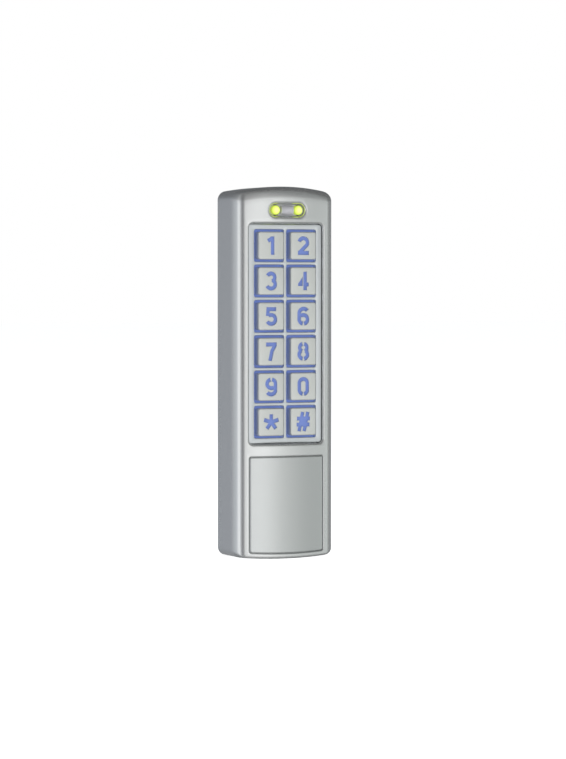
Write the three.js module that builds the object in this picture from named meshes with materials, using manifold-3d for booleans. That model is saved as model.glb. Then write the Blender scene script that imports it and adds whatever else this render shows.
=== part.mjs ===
// Keypad access reader for a wall: crowned metal housing, twelve keys, card antenna and wall bracket.
// Millimetres, +Z up. The front faces -Y and the wall is the plane y = 0.
// The origin is the middle of the wall bracket's back face.
import * as THREE from 'three';
import { mergeVertices } from 'three/addons/utils/BufferGeometryUtils.js';
import Module from 'manifold-3d';

const wasm = await Module();
wasm.setup();

// ---- driving dimensions ----

const gap = 0.3; // clearance left between neighbouring pieces

const shell = {
  halfWidth: 21.75,
  front: -24, // the crown's highest line
  back: -3.65,
  top: 74,
  bottom: -74,
  wall: 2,
  crownRadius: 74, // front face, about a vertical axis
  cornerRadius: 5.2, // front vertical edges
  topArchRadius: 106,
  bottomArchRadius: 250,
  outlineRadius: 3, // corners seen from the front
  rollRadius: 4.5, // front face into the top
  chinRadius: 1.2, // front face into the bottom
};

const keypad = {
  columns: 2,
  rows: 6,
  pitch: 14,
  middle: 15.5, // height of the window's centre
  windowWidth: 32.2,
  windowHeight: 87.6,
  windowRadius: 1.8,
  frameRadius: 1.3,
  frameFace: -21,
  frameBack: -18.4,
  flangeFace: -19.4,
  frameGap: 0.5,
  pocket: 12.8,
  capSize: 11,
  capFace: -23.2,
  capBack: -19.2,
  capSkin: 0.7,
  capWall: 0.7,
};

const mat = { front: -18.1, back: -16.9, width: 35, height: 91, radius: 1.5, opening: 9.4 };
const keyCore = { size: 8.6, back: -16.6, collar: 10.4, collarBack: -15.9 };
const keyBoard = {
  front: -14.6,
  back: -13.4,
  width: 34.4,
  height: 91,
  top: 68.4,
  neck: 21,
  domeRadius: 3.5,
  dome: 0.4,
};

const lamps = {
  height: 64.6,
  pitch: 9.8,
  radius: 2,
  dome: 1.3,
  tip: -23.9,
  slotLength: 15,
  slotHeight: 4.9,
  rim: 1.2,
};
const lightBar = { radius: 1.8, tip: -23.6, back: -21.2, stemHalf: 1.3 };
const plate = { halfWidth: 16, top: -33.3, bottom: -71.7, thickness: 0.8, ledge: 1.1, radius: 0.8 };
const antenna = { width: 22, top: -38, bottom: -68, band: 3, front: -19.8, thickness: 1, sheet: 0.6 };

const mainBoard = { front: -11.4, back: -10, width: 33, bottom: -62, top: 61 };
const solder = 0.1; // stand-off under a soldered part
const cover = {
  front: -4.2,
  back: -2.4,
  halfWidth: 19.4,
  halfHeight: 70,
  radius: 3,
  screwX: 14.5,
  screwZ: 65.5,
};
const gasket = { halfWidth: 19.2, halfHeight: 70.3, sideBand: 1.7, endBand: 0.9, radius: 3 };
const coverScrew = { tip: -12, radius: 1.3, bore: 1.6, headRadius: 2.5, sinkRadius: 2.8, sink: 1, rear: -2 };
const bracket = { thickness: 1.5, halfWidth: 17.2, halfHeight: 68, lipFront: -7.65, lipTop: 70.5 };
const hook = { x: 7, halfWidth: 2.5, lip: 1.2 };
const hookRail = { halfWidth: 11, front: -5.45, back: -3.65, bottom: 69, top: 72.6 };
const cable = { height: 28, boreRadius: 3.5, neckRadius: 4.7, flangeRadius: 6.4, bracketRadius: 7.5 };
const tamper = { x: 10, z: -40, radius: 1.2, collar: 2, tip: -0.3 };
const standoff = { x: 14.5, z: -50, radius: 2.2, screwRadius: 0.9, headRadius: 1.9 };
const lockScrew = {
  y: -8,
  radius: 1.5,
  clearance: 0.4,
  headRadius: 2.6,
  bottom: -73.8,
  top: -64.8,
  sink: -72.8,
};

// ---- solids ----

const degrees = Math.PI / 180;

// Points along a round stretch, both ends included.
function arc(x, y, radius, from, to, steps) {
  const points = [];
  for (let i = 0; i <= steps; i += 1) {
    const angle = (from + ((to - from) * i) / steps) * degrees;
    points.push(new THREE.Vector2(x + radius * Math.cos(angle), y + radius * Math.sin(angle)));
  }
  return points;
}

function point(x, y) {
  return new THREE.Vector2(x, y);
}

// A closed three.js geometry becomes a solid that can be cut and joined.
function toSolid(geometry) {
  geometry.deleteAttribute('normal');
  geometry.deleteAttribute('uv');
  const merged = mergeVertices(geometry, 1e-4);
  const place = merged.attributes.position;
  const corners = merged.index.array;
  const kept = [];
  let volume = 0;
  for (let i = 0; i < corners.length; i += 3) {
    const [a, b, c] = [corners[i], corners[i + 1], corners[i + 2]];
    if (a === b || b === c || c === a) continue;
    const [p, q, r] = [a, b, c].map((n) => new THREE.Vector3().fromBufferAttribute(place, n));
    volume += p.dot(q.cross(r));
    kept.push(a, b, c);
  }
  if (volume < 0) kept.reverse();
  const vertProperties = new Float32Array(place.array);
  const triVerts = new Uint32Array(kept);
  return new wasm.Manifold(new wasm.Mesh({ numProp: 3, vertProperties, triVerts }));
}

function box(x0, x1, y0, y1, z0, z1) {
  const geometry = new THREE.BoxGeometry(x1 - x0, y1 - y0, z1 - z0);
  return toSolid(geometry.translate((x0 + x1) / 2, (y0 + y1) / 2, (z0 + z1) / 2));
}

function extruded(points, depth) {
  return new THREE.ExtrudeGeometry(new THREE.Shape(points), { depth, bevelEnabled: false });
}

// An outline in X and Z, given thickness along Y from its front to its back.
function slab(points, front, back) {
  return toSolid(extruded(points, back - front).rotateX(Math.PI / 2).translate(0, back, 0));
}

// An outline in X and Y, carried along Z.
function column(points, bottom, top) {
  return toSolid(extruded(points, top - bottom).translate(0, 0, bottom));
}

// An outline in Y and Z, carried along X.
function beam(points, left, right) {
  const turn = new THREE.Matrix4().makeBasis(point3(0, 1, 0), point3(0, 0, 1), point3(1, 0, 0));
  return toSolid(extruded(points, right - left).applyMatrix4(turn).translate(left, 0, 0));
}

function point3(x, y, z) {
  return new THREE.Vector3(x, y, z);
}

// An upright bar with equal sides, about the lock screw's line.
function polygonColumn(radius, sides, bottom, top) {
  return column(arc(0, lockScrew.y, radius, 0, 360 - 360 / sides, sides - 1), bottom, top);
}

// A turned piece about the Y direction through (x, z); the profile holds [radius, y] pairs.
function turned(profile, x, z, sides = 20) {
  const points = profile.map(([radius, y]) => point(radius, y));
  return toSolid(new THREE.LatheGeometry(points, sides).translate(x, 0, z));
}

// A round bar along Y between a front and a back.
function roundBar(x, z, radius, front, back, sides = 16) {
  return turned([[0, front], [radius, front], [radius, back], [0, back]], x, z, sides);
}

function roundedRectangle(x, z, width, height, radius, steps = 3) {
  const [w, h] = [width / 2 - radius, height / 2 - radius];
  return [
    ...arc(x + w, z + h, radius, 0, 90, steps),
    ...arc(x - w, z + h, radius, 90, 180, steps),
    ...arc(x - w, z - h, radius, 180, 270, steps),
    ...arc(x + w, z - h, radius, 270, 360, steps),
  ];
}

function join(first, ...others) {
  return others.reduce((whole, other) => whole.add(other), first);
}

function cut(first, ...others) {
  return others.reduce((whole, other) => whole.subtract(other), first);
}

// ---- the housing's outer form, and the same form set in by any amount ----

// Where a corner fillet of the given radius meets an arch: its centre and the arch's half angle.
function archCorner(half, archRadius, radius) {
  const across = half - radius;
  const along = Math.sqrt((archRadius - radius) ** 2 - across ** 2);
  return { across, along, tip: Math.atan2(across, along) / degrees };
}

function crownSection(inset, back) {
  const half = shell.halfWidth - inset;
  const radius = Math.max(shell.cornerRadius - inset, 0.4);
  const crown = shell.crownRadius - inset;
  const middle = shell.front + shell.crownRadius;
  const corner = archCorner(half, crown, radius);
  return [
    point(half, back),
    point(-half, back),
    ...arc(-corner.across, middle - corner.along, radius, 180, 270 - corner.tip, 4),
    ...arc(0, middle, crown, 270 - corner.tip, 270 + corner.tip, 12).slice(1, -1),
    ...arc(corner.across, middle - corner.along, radius, 270 + corner.tip, 360, 4),
  ];
}

function frontOutline(inset) {
  const half = shell.halfWidth - inset;
  const radius = Math.max(shell.outlineRadius - inset, 0.6);
  const topArch = shell.topArchRadius - inset;
  const bottomArch = shell.bottomArchRadius - inset;
  const topMiddle = shell.top - shell.topArchRadius;
  const bottomMiddle = shell.bottom + shell.bottomArchRadius;
  const high = archCorner(half, topArch, radius);
  const low = archCorner(half, bottomArch, radius);
  return [
    ...arc(-low.across, bottomMiddle - low.along, radius, 180, 270 - low.tip, 4),
    ...arc(0, bottomMiddle, bottomArch, 270 - low.tip, 270 + low.tip, 6).slice(1, -1),
    ...arc(low.across, bottomMiddle - low.along, radius, 270 + low.tip, 360, 4),
    ...arc(high.across, topMiddle + high.along, radius, 0, 90 - high.tip, 4),
    ...arc(0, topMiddle, topArch, 90 - high.tip, 90 + high.tip, 10).slice(1, -1),
    ...arc(-high.across, topMiddle + high.along, radius, 90 + high.tip, 180, 4),
  ];
}

function sideProfile(inset, back) {
  const front = shell.front + inset;
  const [top, bottom] = [shell.top - inset, shell.bottom + inset];
  const roll = Math.max(shell.rollRadius - inset, 0.5);
  const chin = Math.max(shell.chinRadius - inset, 0.3);
  return [
    point(back, bottom),
    point(back, top),
    ...arc(front + roll, top - roll, roll, 90, 180, 5),
    ...arc(front + chin, bottom + chin, chin, 180, 270, 3),
  ];
}

function shellForm(inset, back) {
  const reach = 100;
  return column(crownSection(inset, back), -reach, reach)
    .intersect(slab(frontOutline(inset), -reach, back))
    .intersect(beam(sideProfile(inset, back), -reach, reach));
}

// The front plate's outline: straight top and sides, and a bottom that follows the housing's arch.
function plateOutline(margin) {
  const half = plate.halfWidth + margin;
  const radius = plate.radius;
  const arch = shell.bottomArchRadius;
  const middle = plate.bottom - margin + arch;
  const low = archCorner(half, arch, radius);
  const top = plate.top + margin - radius;
  return [
    ...arc(-low.across, middle - low.along, radius, 180, 270 - low.tip, 3),
    ...arc(0, middle, arch, 270 - low.tip, 270 + low.tip, 6).slice(1, -1),
    ...arc(low.across, middle - low.along, radius, 270 + low.tip, 360, 3),
    ...arc(half - radius, top, radius, 0, 90, 3),
    ...arc(radius - half, top, radius, 90, 180, 3),
  ];
}

function stadium(length, height) {
  return roundedRectangle(0, lamps.height, length, height, height / 2 - 0.01, 6);
}

// The bosses that stand up behind the front, and the bores that their screws go into.
function housingBosses() {
  const foot = -20.5; // inside the front wall
  const bossRadius = 2.5;
  const bosses = [];
  const bores = [];
  for (const side of [-1, 1]) {
    for (const z of [-cover.screwZ, cover.screwZ]) {
      const x = side * cover.screwX;
      bosses.push(roundBar(x, z, bossRadius, foot, cover.front - gap));
      bores.push(roundBar(x, z, coverScrew.bore, coverScrew.tip - 1, 0));
    }
    const x = side * standoff.x;
    const face = mainBoard.front - gap;
    bosses.push(roundBar(x, standoff.z, standoff.radius, foot, face));
    bores.push(roundBar(x, standoff.z, standoff.screwRadius + gap, face - 5.3, face + 1));
  }
  return { bosses, bores };
}

// The slot for the lamps, with its edge bevelled where it meets the front.
function lampOpening(front, deep) {
  const outline = stadium(lamps.slotLength, lamps.slotHeight);
  const rim = new THREE.ExtrudeGeometry(new THREE.Shape(outline), {
    depth: 2,
    bevelThickness: lamps.rim,
    bevelSize: lamps.rim,
    bevelSegments: 1,
  });
  rim.rotateX(Math.PI / 2).translate(0, shell.front + lamps.rim / 2, 0);
  return [slab(outline, front, deep), toSolid(rim)];
}

function makeHousing() {
  const open = 5; // cuts that leave through the open back stop behind the wall plane
  const front = shell.front - 1;
  const deep = -10;
  const { windowWidth, windowHeight, windowRadius, middle } = keypad;
  const { bosses, bores } = housingBosses();
  const { halfWidth, bottom, top } = hookRail;
  const rail = box(-halfWidth, halfWidth, hookRail.front, hookRail.back, bottom, top);
  const window = slab(roundedRectangle(0, middle, windowWidth, windowHeight, windowRadius), front, deep);
  const plateSeat = slab(plateOutline(gap), front, deep).subtract(shellForm(plate.ledge, open));
  const [half, margin] = [antenna.width / 2 + 0.6, 0.6];
  const antennaWindow = box(-half, half, front, deep, antenna.bottom - margin, antenna.top + margin);
  const lockHole = polygonColumn(lockScrew.radius + lockScrew.clearance, 16, shell.bottom - 1, -70);
  const lockSink = polygonColumn(lockScrew.headRadius + gap, 16, shell.bottom - 1, lockScrew.sink);
  return cut(
    join(cut(shellForm(0, shell.back), shellForm(shell.wall, open)), ...bosses, rail),
    ...bores,
    window,
    ...lampOpening(front, deep),
    plateSeat,
    antennaWindow,
    lockHole,
    lockSink,
  );
}

function makeFrontPlate() {
  return slab(plateOutline(0), shell.front - 1, -10)
    .intersect(shellForm(0, shell.back))
    .subtract(shellForm(plate.thickness, 0));
}

// ---- keypad ----

// The key names in reading order, left to right and top to bottom.
const keyNames = ['1', '2', '3', '4', '5', '6', '7', '8', '9', '0', 'star', 'hash'];

function keyPlace(index) {
  const column = index % keypad.columns;
  const row = Math.floor(index / keypad.columns);
  const x = (column - (keypad.columns - 1) / 2) * keypad.pitch;
  const z = keypad.middle + ((keypad.rows - 1) / 2 - row) * keypad.pitch;
  return { x, z };
}

function square(x, z, size, radius = 0.5) {
  return roundedRectangle(x, z, size, size, radius, 2);
}

const strokeWidth = 1.5;
const stretch = 1.06; // the characters are a little wider than their centre lines say
const [capLine, baseLine] = [2.85, -2.85]; // centre lines of the top and bottom strokes
const edge = 3.6; // half the height of a character
const bridge = 10; // degrees left standing on each side of a stencil bridge

function bowl(x, z, radius, from, to) {
  return arc(x, z, radius, from, to, Math.max(2, Math.round(Math.abs(to - from) / 30)));
}

// A tall ring from one side of a stencil bridge at its bottom, over the top, to the other side.
function tallRing(half, straight) {
  return [
    ...bowl(0, -straight, half, -90 + bridge, 0),
    ...bowl(0, straight, half, 0, 180),
    ...bowl(0, -straight, half, 180, 270 - bridge),
  ];
}

// Each character as strokes, which are centre lines, and filled patches.
const characters = {
  1: { strokes: [[point(-1.35, 1.85), point(0.5, 3.0)], [point(0.55, edge), point(0.55, -edge)]] },
  2: {
    strokes: [
      [...bowl(0, 1.25, 1.72, 165, -30), point(-1.6, -2.75)],
      [point(-2.2, baseLine), point(2.3, baseLine)],
    ],
  },
  3: { strokes: [bowl(-0.1, 1.45, 1.52, 155, -75), bowl(-0.1, -1.26, 1.72, 75, -155)] },
  4: {
    strokes: [[point(0.75, edge), point(0.75, -edge)], [point(1.3, -1.4), point(2.25, -1.4)]],
    fills: [[point(-0.3, 1.7), point(-2.35, -1.1), point(-2.35, -2.0), point(-0.3, -2.0)]],
  },
  5: {
    strokes: [
      [point(-1.75, capLine), point(2.0, capLine)],
      [point(-1.2, edge), point(-1.5, 0.15)],
      bowl(-0.05, -1.2, 1.76, 125, -150),
    ],
  },
  6: {
    strokes: [
      [...bowl(0.1, 1.15, 1.82, 35, 170), ...bowl(0, -1.25, 1.72, 180, 270 - bridge)],
      [...bowl(0, -1.25, 1.72, 130, 0), ...bowl(0, -1.25, 1.72, 0, -90 + bridge).slice(1)],
    ],
  },
  7: {
    strokes: [
      [point(-2.1, capLine), point(2.2, capLine)],
      [point(1.6, 2.7), point(0.3, 0.3), point(-0.5, -edge)],
    ],
  },
  8: {
    strokes: [1, -1].flatMap((side) => [
      bowl(0, 1.5, 1.5, 90 - side * bridge * 1.3, side > 0 ? -68 : 248),
      bowl(0, -1.25, 1.72, side > 0 ? 60 : 120, side > 0 ? -90 + bridge : 270 - bridge),
    ]),
  },
  9: {
    strokes: [
      [...bowl(0, 1.25, 1.72, 90 - bridge, 0), ...bowl(-0.1, -1.15, 1.82, -10, -145)],
      [...bowl(0, 1.25, 1.72, 90 + bridge, 310)],
    ],
  },
  0: { strokes: [tallRing(1.65, 1.33)] },
  star: {
    strokes: [90, 162, 234, 306, 18].map((angle) => [point(0, 0), arc(0, 0, 3.1, angle, angle, 1)[0]]),
  },
  hash: {
    strokes: [
      [point(-1.75, -3.8), point(-0.25, 3.8)],
      [point(0.35, -3.8), point(1.85, 3.8)],
      [point(-2.6, 1.2), point(2.75, 1.2)],
      [point(-2.75, -1.2), point(2.6, -1.2)],
    ],
    fills: [[point(-1.2, -1.2), point(0.9, -1.2), point(1.3, 1.2), point(-0.8, 1.2)]],
  },
};

// The outline of a stroke of even width along a centre line.
function ribbon(line, width) {
  const [left, right] = [[], []];
  line.forEach((here, i) => {
    const before = line[Math.max(i - 1, 0)];
    const after = line[Math.min(i + 1, line.length - 1)];
    const [a, b] = [here.clone().sub(before), after.clone().sub(here)];
    const ahead = (a.length() ? a : b).clone().normalize();
    const mean = ahead.clone().add((b.length() ? b : a).clone().normalize()).normalize();
    const reach = width / 2 / Math.max(ahead.dot(mean), 0.5);
    left.push(point(here.x - mean.y * reach, here.y + mean.x * reach));
    right.unshift(point(here.x + mean.y * reach, here.y - mean.x * reach));
  });
  return [...left, ...right];
}

function characterCut(name, x, z) {
  const { strokes = [], fills = [] } = characters[name];
  const widened = strokes.map((line) => line.map((p) => point(p.x * stretch, p.y)));
  const shapes = [...widened.map((line) => ribbon(line, strokeWidth)), ...fills];
  return shapes.map((points) => slab(
    points.map((p) => point(p.x + x, p.y + z)),
    keypad.capFace - 1,
    keypad.capFace + keypad.capSkin + gap / 2,
  ));
}

function makeCap(name, x, z) {
  const { capSize, capFace, capBack, capSkin, capWall } = keypad;
  const body = slab(square(x, z, capSize, 0.8), capFace, capBack);
  const hollow = slab(square(x, z, capSize - 2 * capWall), capFace + capSkin, capBack + 1);
  return cut(body, hollow, ...characterCut(name, x, z));
}

function makeCore(x, z) {
  const front = keypad.capFace + keypad.capSkin + gap;
  const half = keyCore.size / 2;
  const wide = keyCore.collar / 2;
  return join(
    box(x - half, x + half, front, keyCore.back, z - half, z + half),
    box(x - wide, x + wide, keyCore.back - 0.01, keyCore.collarBack, z - wide, z + wide),
  );
}

function makeKeypadFrame() {
  const { windowWidth, windowHeight, frameGap, middle } = keypad;
  const [width, height] = [windowWidth - 2 * frameGap, windowHeight - 2 * frameGap];
  const face = roundedRectangle(0, middle, width, height, keypad.frameRadius);
  const flange = roundedRectangle(0, middle, mat.width, mat.height, mat.radius);
  const { frameFace, flangeFace, frameBack } = keypad;
  const whole = join(slab(face, frameFace, frameBack), slab(flange, flangeFace, frameBack));
  const pockets = keyNames.map((name, i) => {
    const { x, z } = keyPlace(i);
    return slab(square(x, z, keypad.pocket), frameFace - 1, frameBack + 1);
  });
  return cut(whole, ...pockets);
}

function makeKeymat() {
  const openings = keyNames.map((name, i) => {
    const { x, z } = keyPlace(i);
    return slab(square(x, z, mat.opening), mat.front - 1, mat.back + 1);
  });
  const sheet = roundedRectangle(0, keypad.middle, mat.width, mat.height, mat.radius);
  return cut(slab(sheet, mat.front, mat.back), ...openings);
}

function makeKeypadBoard() {
  const { front, back, width, height, top, neck, domeRadius, dome } = keyBoard;
  const domes = keyNames.map((name, i) => {
    const { x, z } = keyPlace(i);
    const [shoulder, foot] = [[domeRadius * 0.6, front - dome * 0.7], front + 0.2];
    return turned([[0, front - dome], shoulder, [domeRadius, foot], [0, foot]], x, z, 12);
  });
  const sheet = slab(roundedRectangle(0, keypad.middle, width, height, 1), front, back);
  return join(sheet, box(-neck / 2, neck / 2, front, back, keypad.middle, top), ...domes);
}

// ---- lamps and light bar ----

function makeLamp(side) {
  const { height, pitch, radius, tip, dome } = lamps;
  const foot = keyBoard.front - solder;
  const profile = [[0, tip]];
  for (let i = 1; i <= 4; i += 1) {
    const angle = (i / 4) * 90 * degrees;
    profile.push([radius * Math.sin(angle), tip + dome * (1 - Math.cos(angle))]);
  }
  profile.push([radius, foot - 2.4], [radius * 0.8, foot], [0, foot]);
  return turned(profile, (side * pitch) / 2, height, 16);
}

function makeLightBar() {
  const { radius, tip, back, stemHalf } = lightBar;
  const half = lamps.pitch / 2 - lamps.radius - gap;
  const stem = half - 0.6;
  const round = arc(tip + radius, lamps.height, radius, 90, 270, 8);
  const [low, high] = [lamps.height - stemHalf, lamps.height + stemHalf];
  return join(
    beam([...round, point(back, lamps.height - radius), point(back, lamps.height + radius)], -half, half),
    box(-stem, stem, back - 0.1, keyBoard.front - solder, low, high),
  );
}

// ---- card antenna ----

function makeAntennaCoil() {
  const { width, top, bottom, band, front, thickness } = antenna;
  const middle = (top + bottom) / 2;
  const outer = roundedRectangle(0, middle, width, top - bottom, 3);
  const inner = roundedRectangle(0, middle, width - 2 * band, top - bottom - 2 * band, 1);
  return cut(slab(outer, front, front + thickness), slab(inner, front - 1, front + 2));
}

function makeFerriteSheet() {
  const { width, top, bottom, front, thickness, sheet } = antenna;
  const face = front + thickness + gap;
  return slab(roundedRectangle(0, (top + bottom) / 2, width + 1, top - bottom, 1), face, face + sheet);
}

// ---- main board and what it carries ----

const behind = mainBoard.back + solder;

function makeMainBoard() {
  const { front, back, width, bottom, top } = mainBoard;
  const sheet = slab(roundedRectangle(0, (top + bottom) / 2, width, top - bottom, 1), front, back);
  const bore = standoff.screwRadius + gap;
  const holes = [-1, 1].map((side) => roundBar(side * standoff.x, standoff.z, bore, front - 1, back + 1));
  return cut(sheet, ...holes);
}

function makeBoardScrew(side) {
  const { screwRadius, headRadius } = standoff;
  const [tip, head] = [-16, mainBoard.back + gap];
  const shank = [[0, tip], [screwRadius, tip + 0.5], [screwRadius, head]];
  const dome = [[headRadius, head], [headRadius, head + 0.8], [0, head + 1.1]];
  return turned([...shank, ...dome], side * standoff.x, standoff.z, 12);
}

// Eight ways, each with a mouth for its wire at the top and a screw that is reached from behind.
function makeTerminalBlock() {
  const [left, right, low, high, rear] = [-14, 14, 8, 15, -5];
  const [ways, reach, wireHalf, screwRadius] = [8, 3, 1.1, 1.1];
  const [wireFront, wireBack] = [-8.6, -6.2];
  const step = (right - left) / ways;
  const mouths = [];
  for (let i = 0; i < ways; i += 1) {
    const x = left + step * (i + 0.5);
    mouths.push(box(x - wireHalf, x + wireHalf, wireFront, wireBack, high - reach, high + 1));
    mouths.push(roundBar(x, low + 2.4, screwRadius, rear - 1, rear + 1, 10));
  }
  return cut(box(left, right, behind, rear, low, high), ...mouths);
}

function makeControllerChip() {
  const [half, legTip, thickness, low, high] = [5, 6, 1.2, -22, -12];
  const [legs, legPitch, legHalf, legHeight] = [6, 1.4, 0.25, 0.3];
  const front = mainBoard.front - solder;
  const rows = [];
  for (let i = 0; i < legs; i += 1) {
    const z = low + 1.5 + i * legPitch;
    rows.push(box(-legTip, legTip, front - legHeight, front, z - legHalf, z + legHalf));
  }
  return join(box(-half, half, front - thickness, front, low, high), ...rows);
}

function makeBoardConnector() {
  const [half, low, high, wall] = [9, 44, 48, 0.8];
  const front = mainBoard.front - solder;
  const body = box(-half, half, keyBoard.back + solder, front, low, high);
  return cut(body, box(wall - half, half - wall, keyBoard.back - 1, front - 0.5, low + 1, high - 1));
}

function makeRelay() {
  const [x, z, width, height, rear] = [-8.5, -8, 10.6, 15, -5.2];
  return slab(roundedRectangle(x, z, width, height, 0.6, 2), behind, rear);
}

// A round sounder with its sound hole in the middle of its rear face.
function makeBuzzer() {
  const [x, z, radius, rear, hole] = [7, -12, 6, -5.4, 1];
  const body = [[0, behind], [radius, behind], [radius, rear - 0.5], [radius - 0.5, rear]];
  return turned([...body, [hole, rear], [hole, rear - 1], [0, rear - 1]], x, z, 20);
}

function makeTamperSwitch() {
  const { x, z } = tamper;
  const [half, rear, button] = [3, -7.2, 1.6];
  return join(
    box(x - half, x + half, behind, rear, z - half, z + half),
    box(x - button, x + button, rear - 0.1, rear + 0.5, z - button, z + button),
  );
}

function makeTamperPlunger() {
  const { x, z, radius, collar, tip } = tamper;
  const [head, step] = [-6.4, -5.9];
  const pin = [[radius, step], [radius, tip - 0.6], [radius * 0.6, tip], [0, tip]];
  return turned([[0, head], [collar, head], [collar, step], ...pin], x, z, 14);
}

// ---- back cover, gasket and wall bracket ----

function makeBackCover() {
  const { front, back, halfWidth, halfHeight, screwX, screwZ } = cover;
  const sheet = slab(roundedRectangle(0, 0, 2 * halfWidth, 2 * halfHeight, cover.radius), front, back);
  const [hookNotch, screwNotch] = [{ half: hookRail.halfWidth, edge: 65.2 }, { half: 7, edge: -64.5 }];
  const holes = [
    box(-hookNotch.half, hookNotch.half, front - 1, back + 1, hookNotch.edge, halfHeight + 1),
    box(-screwNotch.half, screwNotch.half, front - 1, back + 1, -halfHeight - 1, screwNotch.edge),
    roundBar(0, cable.height, cable.neckRadius + gap, front - 1, back + 1, 20),
    roundBar(tamper.x, tamper.z, tamper.radius + gap, front - 1, back + 1),
  ];
  for (const x of [-screwX, screwX]) {
    for (const z of [-screwZ, screwZ]) {
      holes.push(roundBar(x, z, coverScrew.bore, front - 1, back + 1));
      holes.push(roundBar(x, z, coverScrew.sinkRadius, back - coverScrew.sink, back + 1));
    }
  }
  return cut(sheet, ...holes);
}

// A headed screw with a crossed recess.
function makeCoverScrew(x, z) {
  const { tip, radius, headRadius, rear } = coverScrew;
  const seat = cover.back - coverScrew.sink + gap;
  const [long, thin, depth] = [1.3, 0.3, 0.6];
  const shank = [[0, tip], [radius, tip + 0.8], [radius, seat]];
  const head = [[headRadius, seat], [headRadius, rear - 0.3], [headRadius - 0.4, rear], [0, rear]];
  return cut(
    turned([...shank, ...head], x, z, 14),
    box(x - long, x + long, rear - depth, rear + 1, z - thin, z + thin),
    box(x - thin, x + thin, rear - depth, rear + 1, z - long, z + long),
  );
}

function makeGrommet() {
  const { boreRadius, neckRadius, flangeRadius, height } = cable;
  const [inner, outer] = [cover.front - gap, cover.back + gap];
  return turned(
    [
      [boreRadius, inner - 1],
      [flangeRadius, inner - 1],
      [flangeRadius, inner],
      [neckRadius, inner],
      [neckRadius, outer],
      [flangeRadius, outer],
      [flangeRadius, outer + 1],
      [boreRadius, outer + 1],
      [boreRadius, inner - 1],
    ],
    0,
    height,
    20,
  );
}

// A ring between the back cover and the wall, round the bracket.
function makeGasket() {
  const { halfWidth, halfHeight, sideBand, endBand, radius } = gasket;
  const outer = roundedRectangle(0, 0, 2 * halfWidth, 2 * halfHeight, radius);
  const inner = roundedRectangle(0, 0, 2 * (halfWidth - sideBand), 2 * (halfHeight - endBand), radius - 1);
  return cut(slab(outer, cover.back + gap, 0), slab(inner, cover.front, 1));
}

// A plate with two hooks at its top edge, a tab at its bottom edge that the lock screw goes into, and
// holes for the cable, the tamper plunger and two wall screws.
function makeWallBracket() {
  const { thickness, halfWidth, halfHeight, lipFront, lipTop } = bracket;
  const sheet = slab(roundedRectangle(0, 0, 2 * halfWidth, 2 * halfHeight, 3), -thickness, 0);
  const [tabHalf, tabFront] = [5, lockScrew.y - 3];
  const tabs = [box(-tabHalf, tabHalf, tabFront, 0, -halfHeight, thickness - halfHeight)];
  for (const side of [-1, 1]) {
    const [left, right] = [side * hook.x - hook.halfWidth, side * hook.x + hook.halfWidth];
    tabs.push(box(left, right, lipFront, 0, halfHeight - thickness, halfHeight));
    tabs.push(box(left, right, lipFront, lipFront + hook.lip, halfHeight - thickness, lipTop));
  }
  const through = [-5, 5];
  const [slotHeight, slotLength, slotWidth] = [52, 10, 4];
  const round = slotWidth / 2 - 0.1;
  const notch = lockScrew.radius + lockScrew.clearance;
  const [notchBottom, notchTop] = [-halfHeight - 1, -60];
  return cut(
    join(sheet, ...tabs),
    roundBar(0, cable.height, cable.bracketRadius, ...through, 24),
    roundBar(tamper.x, tamper.z, tamper.radius + 0.5, ...through),
    slab(roundedRectangle(0, slotHeight, slotLength, slotWidth, round), ...through),
    slab(roundedRectangle(0, -slotHeight, slotWidth, slotLength, round), ...through),
    polygonColumn(notch, 16, notchBottom, notchTop),
    box(-notch, notch, tabFront - 2, lockScrew.y, notchBottom, notchTop),
  );
}

// Stands upright in the housing's bottom edge, its head below and a six-sided recess in it.
function makeSecurityScrew() {
  const { y, radius, headRadius, bottom, top } = lockScrew;
  const shoulder = bottom + 0.7;
  const head = [[0, bottom], [headRadius - 0.3, bottom], [headRadius, bottom + 0.3], [headRadius, shoulder]];
  const shank = [[radius, shoulder], [radius, top - 0.7], [0, top]];
  const profile = [...head, ...shank].map(([r, z]) => point(r, z));
  const body = new THREE.LatheGeometry(profile, 16).rotateX(Math.PI / 2).translate(0, y, 0);
  return cut(toSolid(body), polygonColumn(1, 6, bottom - 1, bottom + 0.4));
}

// ---- the assembly ----

const finishes = {
  silver: { color: 0xc9cccb, roughness: 0.38, metalness: 0.85 },
  plateSilver: { color: 0xbfc3c3, roughness: 0.42, metalness: 0.85 },
  keyMetal: { color: 0xcfd0c9, roughness: 0.3, metalness: 0.9 },
  glowBlue: { color: 0x6f86e0, roughness: 0.4, metalness: 0, emissive: 0x3a52d8 },
  lampLime: { color: 0xe2f56a, roughness: 0.2, metalness: 0, emissive: 0xb8d82a },
  clear: { color: 0xdfe4ea, roughness: 0.1, metalness: 0 },
  boardGreen: { color: 0x1d5a36, roughness: 0.5, metalness: 0 },
  copper: { color: 0xb4703a, roughness: 0.35, metalness: 0.9 },
  darkPlastic: { color: 0x24262a, roughness: 0.5, metalness: 0 },
  greenPlastic: { color: 0x2f7d4a, roughness: 0.45, metalness: 0 },
  coverGrey: { color: 0x3a3d41, roughness: 0.6, metalness: 0 },
  rubber: { color: 0x1b1c1e, roughness: 0.85, metalness: 0 },
  steel: { color: 0xb3b6b8, roughness: 0.35, metalness: 1 },
};

const group = new THREE.Group();

function addPiece(name, solid, finish) {
  const { vertProperties, triVerts } = solid.getMesh();
  const geometry = new THREE.BufferGeometry();
  geometry.setAttribute('position', new THREE.BufferAttribute(new Float32Array(vertProperties), 3));
  geometry.setIndex(new THREE.BufferAttribute(new Uint32Array(triVerts), 1));
  geometry.computeVertexNormals();
  const mesh = new THREE.Mesh(geometry, new THREE.MeshStandardMaterial(finishes[finish]));
  mesh.name = name;
  group.add(mesh);
}

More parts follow.
